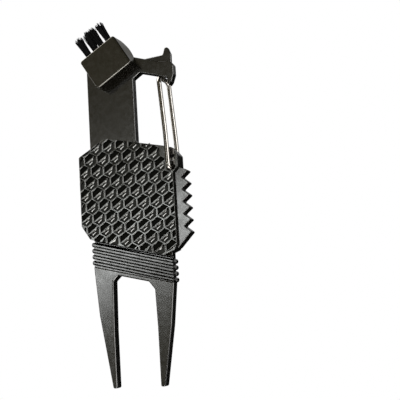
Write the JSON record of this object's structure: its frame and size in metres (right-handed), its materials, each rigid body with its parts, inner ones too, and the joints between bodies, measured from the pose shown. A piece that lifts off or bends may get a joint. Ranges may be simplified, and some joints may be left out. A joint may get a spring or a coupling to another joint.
{
  "type": "divot repair tool",
  "caption": "Flat metal divot repair tool: slanted fork, honeycomb grip, groove comb, carabiner hook with sprung wire gate, corner brush, and a magnetic ball marker on the back.",
  "frame": {"origin": "hanging seat: middle of the flat underside of the hook's arm, where the tool hangs from a loop or ring", "axes": "+Z along the tool towards the brush, fork pointing to -Z; +X towards the comb and gate side; -Y is the honeycomb side, +Y the marker side"},
  "size_m": [0.0295, 0.0079, 0.0944],
  "materials": {
    "gunmetal": "satin black nickel plating on zinc alloy",
    "gunmetal_grip": "satin black nickel plating, darkened in the honeycomb pockets",
    "gunmetal_housing": "satin black nickel plating with bright bevels",
    "black_plastic": "moulded black plastic",
    "black_bristle": "crimped black nylon filament",
    "staple_metal": "flat brass anchor",
    "polished_wire": "polished spring steel wire",
    "magnet_nickel": "mottled nickel plated magnet",
    "marker_steel": "dark nickel plated steel",
    "marker_slate": "slate enamel",
    "marker_orange": "orange enamel",
    "marker_amber": "amber enamel",
    "marker_white": "white enamel"
  },
  "bodies": {
    "tool": {"tool_body": "gunmetal", "grip_plate": "gunmetal_grip", "brush_housing": "gunmetal_housing", "brush_insert": "black_plastic", "bristle_tuft_1": "black_bristle", "bristle_tuft_2": "black_bristle", "bristle_tuft_3": "black_bristle", "bristle_tuft_4": "black_bristle", "tuft_staple_1": "staple_metal", "tuft_staple_2": "staple_metal", "tuft_staple_3": "staple_metal", "tuft_staple_4": "staple_metal", "magnet": "magnet_nickel"},
    "gate": {"gate_wire": "polished_wire"},
    "marker": {"marker_disc": "marker_steel", "marker_enamel": "marker_slate", "marker_pennant": "marker_orange", "marker_flagstick": "marker_white", "marker_mound": "marker_amber"}
  },
  "joints": [
    {"name": "gate_swing", "type": "hinge", "parent": "tool", "child": "gate", "pos_m": [0.00475, -0.00115, -0.02385], "axis": [0, -1, 0], "range_deg": [0, 20], "stiffness_Nm_per_rad": 0.02, "springref_deg": -8.59},
    {"name": "marker_lift", "type": "slide", "parent": "tool", "child": "marker", "axis": [0, 1, 0], "range_m": [0, 0.015]}
  ]
}
